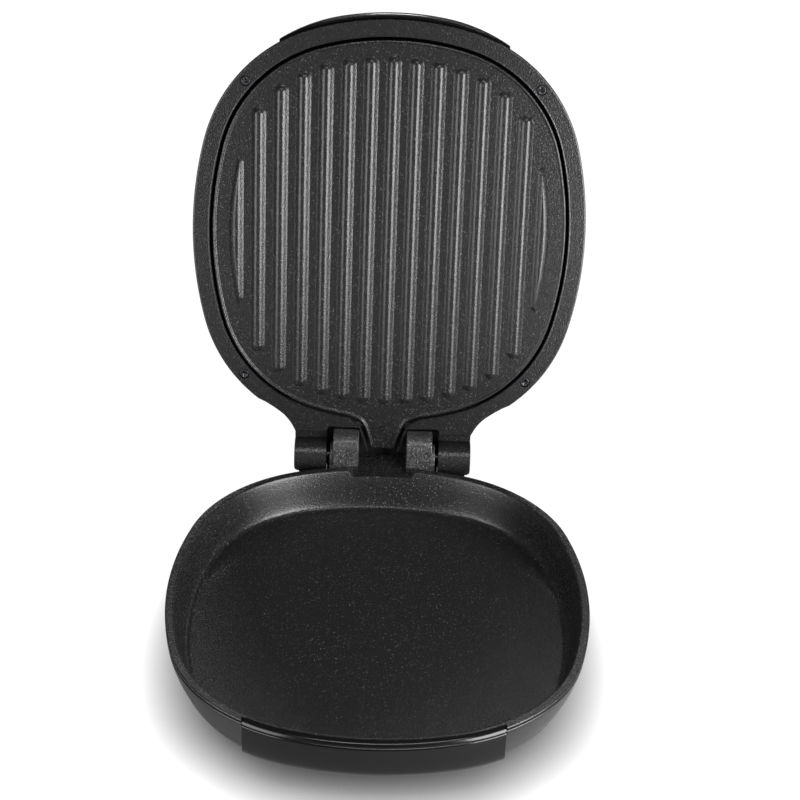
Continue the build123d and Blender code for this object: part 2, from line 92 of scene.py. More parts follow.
# shares of an inset where a closed path turns too tightly for the whole of it
WHOLE, SCANT = 1.0, 0.1

# insets and heights down the casing and up the lid shell
CASING = [(0.05, -3.6), (0.5, -7), (2.5, -14), (4.7, -20.5), (7.5, -27), (10.0, -32.5),
          (13.6, -38), (19.5, -43.5), (26.5, -46.6), (34.0, -48)]
SHELL = [(0.2, 4.7), (0.5, 8), (2.2, 15), (5.0, 22), (8.6, 29), (12.6, 35), (18.5, 41),
         (26.0, 45.6), (36.0, 48)]

# plan of the plate's tongue, and of the ring's throat round it
TONGUE = [(29.0, 157.0), (24.0, 158.7), (19.5, 161.6), (16.4, 166.0), (13.9, 172.5),
          (11.9, 179.5), (10.0, 186.8)]
THROAT = [(31.0, 158.9), (26.3, 161), (22.2, 164), (19.0, 168.3), (16.3, 174.4),
          (14.2, 181.5), (12.5, 188.4)]


# Plan outlines

def outline_arcs(size):
    """the eight tangent arcs of a plan outline: centre, radius, first and last angle"""
    width, length, side_r, end_r, corner_r = size
    side_x, end_y = width / 2 - side_r, length / 2 - end_r
    to_side, to_end, apart = side_r - corner_r, end_r - corner_r, hypot(side_x, end_y)
    ux, uy = -side_x / apart, end_y / apart
    along = (to_side ** 2 - to_end ** 2 + apart ** 2) / (2 * apart)
    off = sqrt(to_side ** 2 - along ** 2)
    meets = [(side_x + along * ux - s * off * uy, along * uy + s * off * ux) for s in (1, -1)]
    cx, cy = max(meets, key=lambda p: p[0] + p[1])
    low, high = atan2(cy, cx - side_x), atan2(cy - end_y, cx)
    quarter = [(cx, cy, corner_r, low, high), (0, end_y, end_r, high, pi - high),
               (-cx, cy, corner_r, pi - high, pi - low),
               (-side_x, 0, side_r, pi - low, pi + low)]
    opposite = [(-x, -y, r, a0 + pi, a1 + pi) for x, y, r, a0, a1 in quarter]
    return quarter + opposite


def outline_spots(size, step=6.0):
    """points of an outline, anticlockwise: x, y and the inward direction"""
    spots = []
    for x, y, r, a0, a1 in outline_arcs(size):
        count = max(4, round(r * (a1 - a0) / step))
        for i in range(count):
            t = a0 + (a1 - a0) * i / count
            spots.append((x + r * cos(t), y + r * sin(t), -cos(t), -sin(t)))
    return spots


def inset_points(size, inset, step=6.0):
    """x and y of an outline drawn in by an inset"""
    return [(x + inset * nx, y + inset * ny) for x, y, nx, ny in outline_spots(size, step)]


def path_spots(points, shares=None):
    """points of any closed path, anticlockwise, with their inward mitre directions; a share
    under 1 makes the insets smaller there"""
    spots = []
    for i, (x, y) in enumerate(points):
        before, after = points[i - 1], points[(i + 1) % len(points)]
        u = Vector((x - before[0], y - before[1])).normalized()
        v = Vector((after[0] - x, after[1] - y)).normalized()
        m = Vector((-u.y - v.y, u.x + v.x)) / max(1 + u.dot(v), 0.5)
        share = shares[i] if shares else WHOLE
        spots.append((x, y, m.x * share, m.y * share))
    return spots


def eased(points, count=3):
    """points with a smooth curve's points between them"""
    curve = []
    for i in range(len(points) - 1):
        p0, p1, p2 = points[max(i - 1, 0)], points[i], points[i + 1]
        p3 = points[min(i + 2, len(points) - 1)]
        for k in range(count):
            t = k / count
            curve.append(tuple(
                0.5 * (2 * b + (c - a) * t + (2 * a - 5 * b + 4 * c - d) * t * t
                       + (3 * b - a - 3 * c + d) * t ** 3) for a, b, c, d in zip(p0, p1, p2, p3)))
    return curve + [points[-1]]


# Modelling steps

def select_only(*pieces):
    """leaves only these pieces selected, in object mode"""
    if bpy.context.mode != "OBJECT":
        bpy.ops.object.mode_set(mode="OBJECT")
    bpy.ops.object.select_all(action="DESELECT")
    for piece in pieces:
        piece.select_set(True)
    bpy.context.view_layer.objects.active = pieces[0] if pieces else None


def laid_rows(name, spots, rows, ring=False, flags=None, second=None):
    """a body laid up in rows: a circle with a point for each spot is set on the first row and
    extruded for each of the others; a row is an inset and a height. Spots whose flag is set
    follow the second list of rows. The ends are filled, or bridged for a ring."""
    select_only()
    bpy.ops.mesh.primitive_circle_add(vertices=len(spots), radius=0.1)
    piece = bpy.context.active_object
    piece.name = piece.data.name = name
    bpy.ops.object.mode_set(mode="EDIT")
    bpy.ops.mesh.select_mode(type="VERT")
    mesh = bmesh.from_edit_mesh(piece.data)
    order = mesh.verts.layers.int.new("spot")
    for i, v in enumerate(mesh.verts):
        v[order] = i
    bpy.ops.mesh.select_all(action="SELECT")
    for k, row in enumerate(rows):
        if k:
            bpy.ops.mesh.extrude_region()
        mesh = bmesh.from_edit_mesh(piece.data)
        order = mesh.verts.layers.int["spot"]
        for v in mesh.verts:
            if v.select:
                x, y, nx, ny = spots[v[order]]
                inset, z = second[k] if flags and flags[v[order]] else row
                v.co = Vector((x + nx * inset, y + ny * inset, z)) * MM
        bmesh.update_edit_mesh(piece.data)
    bpy.ops.mesh.select_all(action="DESELECT")
    bpy.ops.mesh.select_mode(type="EDGE")
    bpy.ops.mesh.select_non_manifold()
    if ring:
        bpy.ops.mesh.bridge_edge_loops()
    else:
        bpy.ops.mesh.fill_holes(sides=0)
    bpy.ops.mesh.select_all(action="SELECT")
    bpy.ops.mesh.normals_make_consistent(inside=False)
    bpy.ops.object.mode_set(mode="OBJECT")
    return piece


def prism(name, points, low, high, across=False):
    """a plan path drawn up from low to high, or a (y, z) path drawn across in x"""
    piece = laid_rows(name, path_spots(points), [(0, low), (0, high)])
    if across:
        piece.data.transform(Matrix(((0, 0, 1, 0), (1, 0, 0, 0), (0, 1, 0, 0), (0, 0, 0, 1))))
    return piece


def rod(name, x0, x1, y, z, r, sides=64):
    """a round bar along x"""
    select_only()
    bpy.ops.mesh.primitive_cylinder_add(
        vertices=sides, radius=r * MM, depth=(x1 - x0) * MM, rotation=(0, pi / 2, 0),
        location=((x0 + x1) / 2 * MM, y * MM, z * MM))
    bpy.ops.object.transform_apply()
    bpy.context.active_object.name = name
    return bpy.context.active_object


def post(name, x, y, r, z0, z1):
    """a round bar along z"""
    select_only()
    bpy.ops.mesh.primitive_cylinder_add(vertices=40, radius=r * MM, depth=(z1 - z0) * MM,
                                        location=(x * MM, y * MM, (z0 + z1) / 2 * MM))
    bpy.ops.object.transform_apply()
    bpy.context.active_object.name = name
    return bpy.context.active_object


def block(name, x0, x1, y0, y1, z0, z1):
    """a box between six planes"""
    select_only()
    bpy.ops.mesh.primitive_cube_add(
        size=MM, location=((x0 + x1) / 2 * MM, (y0 + y1) / 2 * MM, (z0 + z1) / 2 * MM),
        scale=(x1 - x0, y1 - y0, z1 - z0))
    bpy.ops.object.transform_apply()
    bpy.context.active_object.name = name
    return bpy.context.active_object


def round_edges(piece, wanted, width, segments=3):
    """bevels the edges that the test picks by middle, direction and fold in degrees"""
    select_only(piece)
    bpy.ops.object.mode_set(mode="EDIT")
    bpy.ops.mesh.select_mode(type="EDGE")
    bpy.ops.mesh.select_all(action="DESELECT")
    mesh = bmesh.from_edit_mesh(piece.data)
    for e in mesh.edges:
        a, b = (v.co / MM for v in e.verts)
        fold = degrees(e.calc_face_angle(0.0))
        e.select = bool(wanted((a + b) / 2, (b - a).normalized(), fold))
    bmesh.update_edit_mesh(piece.data)
    bpy.ops.mesh.bevel(offset=width * MM, segments=segments, affect="EDGES", clamp_overlap=True)
    bpy.ops.object.mode_set(mode="OBJECT")


def trim(piece, point, normal):
    """cuts away what lies beyond a plane and closes the cut"""
    select_only(piece)
    bpy.ops.object.mode_set(mode="EDIT")
    bpy.ops.mesh.select_all(action="SELECT")
    bpy.ops.mesh.bisect(plane_co=Vector(point) * MM, plane_no=normal, use_fill=True,
                        clear_outer=True)
    bpy.ops.object.mode_set(mode="OBJECT")


def combine(piece, tool, how="DIFFERENCE"):
    """joins, cuts or intersects a piece with a tool, which is used up"""
    select_only(piece)
    bpy.ops.object.modifier_add(type="BOOLEAN")
    step = piece.modifiers[-1]
    step.operation, step.solver, step.object = how, "EXACT", tool
    bpy.ops.object.modifier_apply(modifier=step.name)
    bpy.data.objects.remove(tool)


def both_sides(piece, make, how="DIFFERENCE"):
    """uses a tool made for +x and its mirror image"""
    for side in (1, -1):
        tool = make()
        if side < 0:
            tool.data.transform(Matrix.Diagonal((-1, 1, 1, 1)))
            tool.data.flip_normals()
        combine(piece, tool, how)


def finish(piece, node, place, sharp=30.0):
    """puts a modelled piece in its place, softly shaded, in the stead of its node"""
    piece.data.transform(place)
    select_only(piece)
    bpy.ops.object.shade_smooth_by_angle(angle=radians(sharp))
    bpy.ops.object.modifier_add(type="WEIGHTED_NORMAL")
    piece.modifiers[-1].keep_sharp = True
    bpy.ops.object.modifier_apply(modifier=piece.modifiers[-1].name)
    piece.data.materials.clear()
    piece.data.materials.append(FINISH[node])
    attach(piece, BODY[node])
    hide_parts(node)
    return piece


# Materials

# sizes of the patterns
FLECK_MM, PEBBLE_MM, PEBBLE_DEPTH_MM = 1.0, 1.1, 0.26
CLOUD_MM, MARK_MM, LENS_CLOUD_MM = 40.0, 0.5, 3.0


def linear(colour):
    """sRGB hex to linear RGBA"""
    parts = [int(colour[i:i + 2], 16) / 255 for i in (1, 3, 5)]
    return [c / 12.92 if c <= 0.04045 else ((c + 0.055) / 1.055) ** 2.4 for c in parts] + [1.0]


def add_node(tree, kind, links=(), stops=(), **settings):
    """a node with its settings; a link is (input socket, from node, output socket), and a stop
    of a colour ramp is (position, hex colour)"""
    node = tree.nodes.new(kind)
    for name, value in settings.items():
        if name.startswith("in_"):
            node.inputs[name[3:].replace("_", " ")].default_value = value
        else:
            setattr(node, name, value)
    for socket, source, output in links:
        tree.links.new(source.outputs[output], node.inputs[socket])
    if stops:
        for element, (position, colour) in zip(node.color_ramp.elements, stops):
            element.position = position
            element.color = linear(colour)
    return node


def start_material(name):
    """an empty node material with its shader and the object's own coordinates"""
    made = bpy.data.materials.new(name)
    made.use_nodes = True
    tree = made.node_tree
    tree.nodes.clear()
    shader = add_node(tree, "ShaderNodeBsdfPrincipled")
    add_node(tree, "ShaderNodeOutputMaterial", [("Surface", shader, "BSDF")])
    place = add_node(tree, "ShaderNodeTexCoord")
    return made, tree, shader, place


def flecked_coating(name, ground, fleck, gloss, share):
    """PTFE-type spray coating on die-cast aluminium: near black, satin, pebbled like fine sand,
    with a share of light mineral flecks; both are drawn coarser than the real 0.2 mm so they
    show"""
    made, tree, shader, place = start_material(name)
    cells = add_node(tree, "ShaderNodeTexVoronoi", [("Vector", place, "Object")],
                     in_Scale=1 / (FLECK_MM * MM), feature="F1")
    split = add_node(tree, "ShaderNodeSeparateColor", [("Color", cells, "Color")])
    chosen = add_node(tree, "ShaderNodeValToRGB", [("Fac", split, "Red")],
                      stops=[(1 - share, "#000000"), (1.0, "#ffffff")])
    core = add_node(tree, "ShaderNodeValToRGB", [("Fac", cells, "Distance")],
                    stops=[(0.15, "#ffffff"), (0.45, "#000000")])
    spot = add_node(tree, "ShaderNodeMath", [(0, chosen, "Color"), (1, core, "Color")],
                    operation="MULTIPLY")
    grain = add_node(tree, "ShaderNodeTexNoise", [("Vector", place, "Object")],
                     in_Scale=1 / (PEBBLE_MM * MM), in_Detail=1.0)
    tone = add_node(tree, "ShaderNodeValToRGB", [("Fac", grain, "Fac")],
                    stops=[(0.35, ground[0]), (0.65, ground[1])])
    mix = add_node(tree, "ShaderNodeMix", [(0, spot, 0), (6, tone, "Color")],
                   data_type="RGBA")
    mix.inputs[7].default_value = linear(fleck)
    rough = add_node(tree, "ShaderNodeMapRange", [("Value", grain, "Fac")], in_From_Min=0.3,
                     in_From_Max=0.7, in_To_Min=gloss + 0.08, in_To_Max=gloss - 0.08)
    bump = add_node(tree, "ShaderNodeBump", [("Height", grain, "Fac")], in_Strength=0.8,
                    in_Distance=PEBBLE_DEPTH_MM * MM)
    tree.links.new(mix.outputs[2], shader.inputs["Base Color"])
    tree.links.new(rough.outputs[0], shader.inputs["Roughness"])
    tree.links.new(bump.outputs[0], shader.inputs["Normal"])
    shader.inputs["IOR"].default_value = 1.42
    return made


def satin_plastic(name, dark, light, gloss, grain_mm=0.6, depth_mm=0.02, ior=1.5):
    """moulded phenolic or nylon: one colour through, fine spark-eroded grain, satin"""
    made, tree, shader, place = start_material(name)
    cloud = add_node(tree, "ShaderNodeTexNoise", [("Vector", place, "Object")],
                     in_Scale=1 / (CLOUD_MM * MM), in_Detail=2.0)
    tone = add_node(tree, "ShaderNodeValToRGB", [("Fac", cloud, "Fac")],
                    stops=[(0.3, dark), (0.7, light)])
    grain = add_node(tree, "ShaderNodeTexNoise", [("Vector", place, "Object")],
                     in_Scale=1 / (grain_mm * MM), in_Detail=2.0)
    rough = add_node(tree, "ShaderNodeMapRange", [("Value", grain, "Fac")],
                     in_To_Min=gloss - 0.04, in_To_Max=gloss + 0.04)
    bump = add_node(tree, "ShaderNodeBump", [("Height", grain, "Fac")], in_Strength=0.3,
                    in_Distance=depth_mm * MM)
    tree.links.new(tone.outputs["Color"], shader.inputs["Base Color"])
    tree.links.new(rough.outputs[0], shader.inputs["Roughness"])
    tree.links.new(bump.outputs[0], shader.inputs["Normal"])
    shader.inputs["IOR"].default_value = ior
    return made


def worked_metal(name, dark, light, gloss):
    """bare metal with the fine marks of rolling or turning, drawn out along x"""
    made, tree, shader, place = start_material(name)
    stretch = add_node(tree, "ShaderNodeMapping", [("Vector", place, "Object")],
                       in_Scale=(0.08, 1.0, 1.0))
    marks = add_node(tree, "ShaderNodeTexNoise", [("Vector", stretch, "Vector")],
                     in_Scale=1 / (MARK_MM * MM), in_Detail=3.0)
    tone = add_node(tree, "ShaderNodeValToRGB", [("Fac", marks, "Fac")],
                    stops=[(0.3, dark), (0.7, light)])
    rough = add_node(tree, "ShaderNodeMapRange", [("Value", marks, "Fac")],
                     in_To_Min=gloss - 0.07, in_To_Max=gloss + 0.07)
    tree.links.new(tone.outputs["Color"], shader.inputs["Base Color"])
    tree.links.new(rough.outputs[0], shader.inputs["Roughness"])
    shader.inputs["Metallic"].default_value = 1.0
    return made


def tinted_lens(name):
    """dyed acrylic lens over a neon lamp: red, and light passes through it"""
    made, tree, shader, place = start_material(name)
    cloud = add_node(tree, "ShaderNodeTexNoise", [("Vector", place, "Object")],
                     in_Scale=1 / (LENS_CLOUD_MM * MM))
    tone = add_node(tree, "ShaderNodeValToRGB", [("Fac", cloud, "Fac")],
                    stops=[(0.3, "#a5301a"), (0.7, "#c8452a")])
    tree.links.new(tone.outputs["Color"], shader.inputs["Base Color"])
    shader.inputs["Roughness"].default_value = 0.12
    shader.inputs["Transmission Weight"].default_value = 0.6
    shader.inputs["IOR"].default_value = 1.49
    return made


# sprayed PTFE on the cast pan: deep charcoal with a few pale grains
PAN_COATING = flecked_coating("flecked_pan_coating", ("#0b0b0b", "#242424"), "#808082", 0.28,
                              0.14)
# the same spray, painted lighter and greyer on the posts as painted light for the light that falls
# on them, with more pale flecks
POST_COATING_PAINTED_LIGHT = flecked_coating("painted_light_post_coating", ("#151515", "#404040"), "#a0a0a2", 0.3,
                               0.3)
# the same on the grill plate: darker, and a little glossier
PLATE_COATING = flecked_coating("flecked_plate_coating", ("#0a0a0a", "#202020"), "#6c6c6e",
                                0.25, 0.16)
# thin spray on the cast ring: an almost plain satin black
RING_FINISH = flecked_coating("satin_ring_coating", ("#0c0c0c", "#1e1e1e"), "#5c5c5e", 0.26,
                              0.1)
# moulded phenolic with a fine grain: a soft, wide sheen
CASING_PLASTIC = satin_plastic("moulded_phenolic_casing", "#141415", "#18181a", 0.34)
# polished phenolic: sharp lights along its edges
HANDLE_PLASTIC = satin_plastic("moulded_phenolic_handle", "#080808", "#0b0b0b", 0.17, ior=1.4)
# moulded gloss ABS: it mirrors the lamps
PANEL_PLASTIC = satin_plastic("gloss_abs_panel", "#0f0f10", "#131314", 0.14, depth_mm=0.004)
# moulded satin ABS: grey caps that stand out from the panel
BUTTON_PLASTIC = satin_plastic("satin_abs_button", "#3c3c3e", "#444446", 0.35)
# moulded nylon: dull black
GLAND_NYLON = satin_plastic("moulded_nylon_gland", "#131314", "#171718", 0.5)
# moulded rubber: black, with hardly a light on it
FOOT_RUBBER = satin_plastic("moulded_rubber_foot", "#101010", "#151515", 0.75, depth_mm=0.05)
# pressed phenolic paper: flat green
BOARD = satin_plastic("phenolic_board", "#345238", "#3e6043", 0.5)
# fired steatite: matt cream
CERAMIC = satin_plastic("steatite_terminal", "#d9d4c6", "#e4dfd2", 0.6)
# powder-coated pressed sheet: dark, with a coarse pebbled skin
SHEET_PAINT = satin_plastic("powder_coated_cover", "#171718", "#1c1c1d", 0.55, grain_mm=1.2,
                            depth_mm=0.05)
# turned and zinc-plated steel: pale and softly mirrored
ZINC_STEEL = worked_metal("zinc_plated_steel", "#9fa0a4", "#b8b9bc", 0.34)
# turned and blackened steel: dark, with a metal's edge light
DARK_STEEL = worked_metal("blackened_steel", "#2b2b2d", "#414144", 0.34)
# drawn steel sheath, tinted by heat: a brownish grey
ELEMENT_STEEL = worked_metal("heat_tinted_sheath", "#4a4a44", "#6a6558", 0.45)
# rolled aluminised sheet: bright, it mirrors what is near
BRIGHT_SHEET = worked_metal("aluminised_sheet", "#c4c5c8", "#dddee0", 0.25)
# moulded acrylic: clear red
LENS = tinted_lens("tinted_lamp_lens")

FINISH = {
    "base_casing": CASING_PLASTIC, "lid_shell": CASING_PLASTIC, "base_handle": HANDLE_PLASTIC,
    "lid_handle": HANDLE_PLASTIC, "base_cover": SHEET_PAINT, "base_feet": FOOT_RUBBER,
    "cover_screws": ZINC_STEEL, "pan_screws": ZINC_STEEL, "lid_handle_screws": ZINC_STEEL,
    "frame_screws": DARK_STEEL, "lower_pan": PAN_COATING, "grill_plate": PLATE_COATING,
    "lid_ring": RING_FINISH, "lower_element": ELEMENT_STEEL, "upper_element": ELEMENT_STEEL,
    "lower_thermostat": BRIGHT_SHEET, "upper_thermostat": BRIGHT_SHEET,
    "thermal_fuse": BRIGHT_SHEET, "lower_reflector": BRIGHT_SHEET,
    "upper_reflector": BRIGHT_SHEET, "terminal_block": CERAMIC, "cord_gland": GLAND_NYLON,
    "hinge_pins": DARK_STEEL, "control_panel": PANEL_PLASTIC, "lamp_lenses": LENS,
    "switch_board": BOARD, "upper_heat_button": BUTTON_PLASTIC,
    "lower_heat_button": BUTTON_PLASTIC}

BODY = {node: body for body, nodes in frame["record"]["behaviour"]["bodies"].items()
        for node in nodes}


# Base

def casing():
    """phenolic base casing with the hinge housing behind it"""
    inner = [(2.2, -3.3), (2.7, -7), (4.7, -14), (6.9, -20.5), (9.6, -26.7), (12.1, -32.0),
             (15.8, -37.1), (21.4, -41.7), (27.4, -43.5)]
    rows = inner + [(46, -43.5), (46, -46.1), (34.6, -46.1), (34.6, -47.9)]
    rows += eased(CASING)[::-1] + [(0.3, -3.3)]
    piece = laid_rows("base_casing_skin", outline_spots(BASE), rows, ring=True)
    wide = prism("housing", [(158, -16), (158, -44.5), (188, -44.5), (WIDE_BACK, -34),
                             (WIDE_BACK, -16)], -WIDE_X, WIDE_X, across=True)
    middle = prism("middle", [(158, ROOM_FLOOR), (158, -44.4), (197, -44.4), (MIDDLE_BACK, -34),
                              (MIDDLE_BACK, ROOM_FLOOR)], -MIDDLE_X, MIDDLE_X, across=True)
    for part, back, radius in ((wide, WIDE_BACK, 6.0), (middle, MIDDLE_BACK, 4.0)):
        round_edges(part, lambda m, d, f: abs(d.z) > 0.9 and m.y > back - 1, radius, 6)
        round_edges(part, lambda m, d, f: f > 30 and m.y > 165, 0.7, 2)
        combine(part, laid_rows("inside", outline_spots(BASE), [(1.2, 4)] + [
            (d + 1.1, z) for d, z in CASING[1:]] + [(36, -50)]))
        combine(piece, part, "UNION")
    combine(piece, block("step", -GRIP_X - GRIP_GAP, GRIP_X + GRIP_GAP, -190, -120, -6.0, 1.0))
    combine(piece, block("room", -BOSS_OUT - 1, BOSS_OUT + 1, 140, 215, ROOM_FLOOR, 1.0))
    # webs beside each boss, which close the view into the housing
    both_sides(piece, lambda: block("baffle", BOSS_OUT + 0.3, BARREL_IN - 0.15, 198,
                                    MIDDLE_BACK - 0.1, -18, -6), "UNION")
    both_sides(piece, lambda: block("bridge", LUG_OUT + 0.4, BARREL_IN - 0.2, 197,
                                    MIDDLE_BACK - 0.2, -18.5, -10.6), "UNION")
    hole = rod("hole", -10, 10, 0, GLAND_Z, GLAND_R)
    hole.data.transform(Matrix.Translation((0, GLAND_Y * MM, 0)) @ Matrix.Rotation(pi / 2, 4, "Z"))
    combine(piece, hole)
    return finish(piece, "base_casing", BASE_PLACE)


def lug_head():
    """upright post of the hinge, with its round boss"""
    head = block("lug", LUG_IN, LUG_OUT, LUG_FRONT, LUG_BACK, -13.2, LUG_TOP)
    round_edges(head, lambda m, d, f: m.z > 20 and m.y > 200 and abs(d.x) > 0.9, 9.0, 8)
    round_edges(head, lambda m, d, f: m.z > 20 and m.y < 185 and abs(d.x) > 0.9, 11.0, 10)
    round_edges(head, lambda m, d, f: f > 40 and m.z > -12, 0.9, 3)
    boss = rod("boss", LUG_OUT - 1, BOSS_OUT, PIN_Y, PIN_Z, 11.6)
    round_edges(boss, lambda m, d, f: f > 60 and m.x > LUG_OUT, 0.6, 2)
    combine(head, boss, "UNION")
    foot = block("foot", LUG_IN + 0.1, BOSS_OUT - 0.1, 164, LUG_BACK - 0.1, -14, -1.2)
    combine(foot, hollow_body())
    combine(head, foot, "UNION")
    return head


def hollow_body():
    """the pan's hollow and half of its wall, to trim what is joined on behind it"""
    return laid_rows("hollow", outline_spots(BASE), [
        (11.4, -25), (8.6, -11), (6.1, -2.6), (5.7, -0.9), (5.7, 4.0)])


def pin_slot():
    """long hole that lets the pin float"""
    r = PIN_R + 0.05
    path = [(PIN_Y + r * cos(radians(a)), PIN_Z + (LIFT if a <= 180 else 0)
             + r * sin(radians(a))) for a in range(0, 181, 15)]
    path += [(PIN_Y + r * cos(radians(a)), PIN_Z + r * sin(radians(a)))
             for a in range(180, 361, 15)]
    return prism("slot", path, LUG_IN - 1, BOSS_OUT + 1, across=True)


def pan():
    """deep die-cast pan with its flange, spout notch and hinge posts"""
    wall = eased([(6.75, -1.0), (7.5, -3.0), (9.6, -11), (11.2, -19), (12.6, -25),
                  (13.6, -28.2)])
    rows = [(19, -35.2), (13.2, -31.4), (9.7, -23), (7.0, -11), (4.6, -3.0), (4.4, -2.0),
            (0.6, -2.0), (0.15, -1.85), (0.0, -1.45), (0.0, -0.9), (0.15, -0.45),
            (0.5, -0.12), (1.0, 0.0), (5.2, 0.0), (5.75, -0.04), (6.25, -0.22), (6.55, -0.55)]
    rows += wall + [(14.1, -29.4), (14.8, -30.5), (15.9, -31.35), (17.2, -31.85), (18.8, -32)]
    piece = laid_rows("lower_pan_skin", outline_spots(BASE), rows)
    # along the handle the flange is cut back to the rim, and the handle's lip takes its place
    edge = sorted(p for p in inset_points(BASE, 4.8) if p[1] < 0 and abs(p[0]) < GRIP_X)
    left, right = edge[0][1] + 0.5, edge[-1][1] + 0.5
    end = GRIP_X + GRIP_GAP
    path = [(-end, -190), (end, -190), (end, right)] + edge[::-1] + [(-end, left)]
    combine(piece, prism("grip_gap", path, -2.6, 1.0))
    spout = prism("spout", [(165, -12), (206.3, -12), (206.3, -4.4), (204.6, -3.6),
                            (180, -5.2), (165, -5.3)], -LUG_IN - 1, LUG_IN + 1, across=True)
    combine(spout, hollow_body())
    combine(piece, spout, "UNION")
    both_sides(piece, lug_head, "UNION")
    side = [(23.6, -5.25), (24.6, -5.0), (25.4, -4.3), (26.2, -3.0), (27.0, -1.4),
            (28.2, -0.3), (30.0, 0.02), (30.0, 2.0)]
    notch = side + [(-x, z) for x, z in side[::-1]]
    gap = laid_rows("notch", path_spots(notch), [(0, 150), (0, LUG_FRONT - 0.4)])
    gap.data.transform(Matrix(((1, 0, 0, 0), (0, 0, 1, 0), (0, 1, 0, 0), (0, 0, 0, 1))))
    gap.data.flip_normals()
    combine(piece, gap)
    round_edges(piece, lambda m, d, f: f > 28 and abs(m.x) < 31 and 150 < m.y < 176
                and -6 < m.z < 0.3, 1.0, 4)
    both_sides(piece, pin_slot)
    made = finish(piece, "lower_pan", BASE_PLACE, 38.0)
    # the posts take a lighter copy of the coat: painted light on their lit faces
    made.data.materials.append(POST_COATING_PAINTED_LIGHT)
    for face in made.data.polygons:
        x, y, z = (BASE_PLACE.inverted() @ face.center) / MM
        if y > LUG_FRONT - 0.5 and abs(x) > LUG_IN - 0.1 and z > -4:
            face.material_index = 1
    return made


def front_grip(name, size, rows):
    """a handle's outer form: the front piece of a body, cut square at both ends"""
    piece = laid_rows(name, outline_spots(size), rows)
    trim(piece, (GRIP_X, 0, 0), (1, 0, 0))
    trim(piece, (-GRIP_X, 0, 0), (-1, 0, 0))
    trim(piece, (0, -120, 0), (0, 1, 0))
    return piece


def lower_handle():
    """handle lip on the front of the base"""
    face = eased([(1.4, -29.4), (-0.2, -26), (-1.0, -20), (-1.0, -14), (-0.5, -8),
                  (0.0, -5.9)], 4)
    rows = [(9.6, -31.4), (6.8, -31.1), (4.3, -30.7), (2.6, -30.2)] + face
    rows += [(0.2, -5.45), (0.6, -5.2), (0.85, -5.0), (0.85, -4.6), (0.5, -4.35), (0.15, -4.1),
             (0.1, -3.7), (0.45, -3.1), (1.1, -2.3), (1.9, -1.7), (2.9, -1.25), (4.2, -1.0),
             (6.0, -1.0)]
    piece = front_grip("base_handle_skin", BASE, rows)
    combine(piece, laid_rows("wall", outline_spots(BASE),
                             [(d - 0.1, z) for d, z in [(-0.4, -6.0)] + CASING[1:]]))
    combine(piece, laid_rows("rim", outline_spots(BASE), [(4.9, -6.5), (4.9, 2)]))
    round_edges(piece, lambda m, d, f: abs(abs(m.x) - GRIP_X) < 0.01 and f > 50, 0.6, 2)
    return finish(piece, "base_handle", BASE_PLACE)


# Lid, drawn closed

def shell():
    """phenolic lid shell, its hinge hood and the window of the panel"""
    inner = [(2.8, 4.8), (3.1, 8), (4.8, 15), (7.7, 22), (11.2, 28.4), (15.0, 33.8),
             (20.6, 39.2), (27.5, 43.4), (36.5, 45.5)]
    piece = laid_rows("lid_shell_skin", outline_spots(LID), eased(SHELL))
    hollow = laid_rows("hollow", outline_spots(LID), [(2.6, 4.2)] + inner)
    # left solid behind the hood
    combine(hollow, block("stay", -79, 79, 145, 200, 0, 29))
    combine(piece, hollow)
    # section of the hood: from its tip at the back, over the pin and forward into the shell
    turn = [radians(a) for a in range(54, 121, 6)]
    r = SWEEP_R + HOOD_WALL
    arc = [(PIN_Y + r * cos(a), PIN_Z + r * sin(a)) for a in turn]
    path = [(PIN_Y + 20 * cos(turn[0]), PIN_Z + 20 * sin(turn[0]))] + arc
    path += [(150, PIN_Z + r), (150, 9.2), (PIN_Y - r, 5.4), (PIN_Y - 20, 4.9)]
    cover = prism("hood", path, -HOOD_X, HOOD_X, across=True)
    combine(piece, cover, "UNION")
    combine(piece, rod("sweep", -HOOD_X - 0.2, HOOD_X + 0.2, PIN_Y, PIN_Z, SWEEP_R, 96))
    both_sides(piece, lambda: block("ear_room", BARREL_IN - 0.2, BARREL_OUT + 0.3, 159.8, 210,
                                    -5, 15.2))
    combine(piece, laid_rows("plate_room", outline_spots(LID), [(10.2, 3.0), (10.2, 6.9)]))
    path = tongue_path([(x + 1.2, y + (1.0 if y > 186 else 0)) for x, y in TONGUE], 140)
    combine(piece, prism("tongue_room", path, 3, 9.5))
    combine(piece, block("window", -WINDOW_X, WINDOW_X, WINDOW_FRONT, WINDOW_BACK, 40, 60))
    return finish(piece, "lid_shell", LID_PLACE)


def tongue_path(points, root):
    """closed plan path of the spout, anticlockwise"""
    right = eased(points)
    return ([(right[0][0], root)] + right + [(-x, y) for x, y in right[::-1]]
            + [(-right[0][0], root)])


